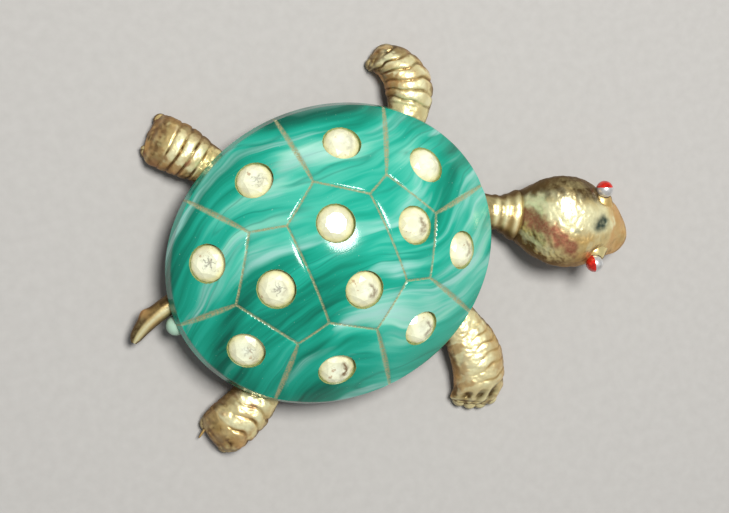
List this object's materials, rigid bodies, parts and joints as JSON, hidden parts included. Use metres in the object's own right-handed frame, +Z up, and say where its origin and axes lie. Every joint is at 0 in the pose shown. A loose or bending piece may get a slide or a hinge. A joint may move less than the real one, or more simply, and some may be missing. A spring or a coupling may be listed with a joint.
{
  "type": "brooch",
  "caption": "Walking turtle brooch: a domed marbled plastic shell with scute grooves and inset round cut stones, on a gold plated cast body with wrinkled legs and round eyes.",
  "frame": {"origin": "on the plane that the feet stand on, under the middle of the whole brooch's box", "axes": "+X along the casting to the head end, +Y to the turtle's left, +Z up out of the shell"},
  "size_m": [0.0562, 0.0424, 0.0138],
  "materials": {
    "green_plastic": "polished, marbled in dark and pale greens",
    "gold_plate": "polished gold plating over a rough cast texture",
    "pin_metal": "gold plated steel",
    "cut_crystal": "clear cut glass over a gold foil back",
    "red_cabochon": "polished"
  },
  "bodies": {
    "root": {"shell": "green_plastic", "body": "gold_plate", "pin": "pin_metal", "stone_centre_left": "cut_crystal", "stone_centre_right": "cut_crystal", "stone_front": "cut_crystal", "stone_rear": "cut_crystal", "stone_rim_front_left": "cut_crystal", "stone_rim_front_right": "cut_crystal", "stone_rim_rear_left": "cut_crystal", "stone_rim_rear_right": "cut_crystal", "stone_side_front_left": "cut_crystal", "stone_side_front_right": "cut_crystal", "stone_side_rear_left": "cut_crystal", "stone_side_rear_right": "cut_crystal", "eye_left": "red_cabochon", "eye_right": "red_cabochon"}
  },
  "joints": []
}
